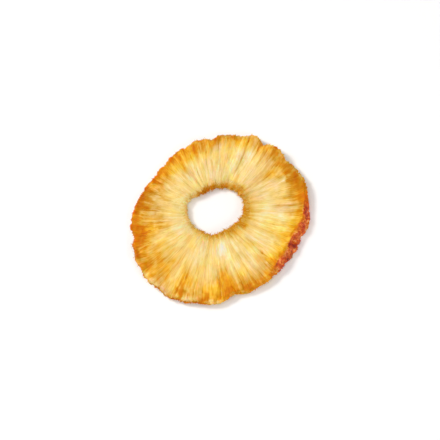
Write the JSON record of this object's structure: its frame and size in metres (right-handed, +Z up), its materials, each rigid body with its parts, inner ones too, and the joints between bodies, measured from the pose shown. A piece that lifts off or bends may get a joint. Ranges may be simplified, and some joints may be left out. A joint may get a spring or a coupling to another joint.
{
  "type": "dried pineapple ring",
  "caption": "Flat, slightly oval ring of dried pineapple with a core hole, radial fibres, a puckered wavy rim and a torn inner edge, for use as a snack, garnish or set dressing.",
  "frame": {"origin": "middle of the ring's outline, on the surface that it lies on", "axes": "+Z up, away from that surface, out of the better face; +X and +Y across the slice, +X towards the stretch of rim that dried thick"},
  "size_m": [0.0798, 0.079, 0.006],
  "materials": {
    "dried_flesh": "dried fruit flesh, pale cream yellow with fine radial fibres, amber blotches near the rim, a brown glossy cut side, half matt and slightly translucent"
  },
  "bodies": {
    "root": {"pineapple_ring": "dried_flesh"}
  },
  "joints": []
}
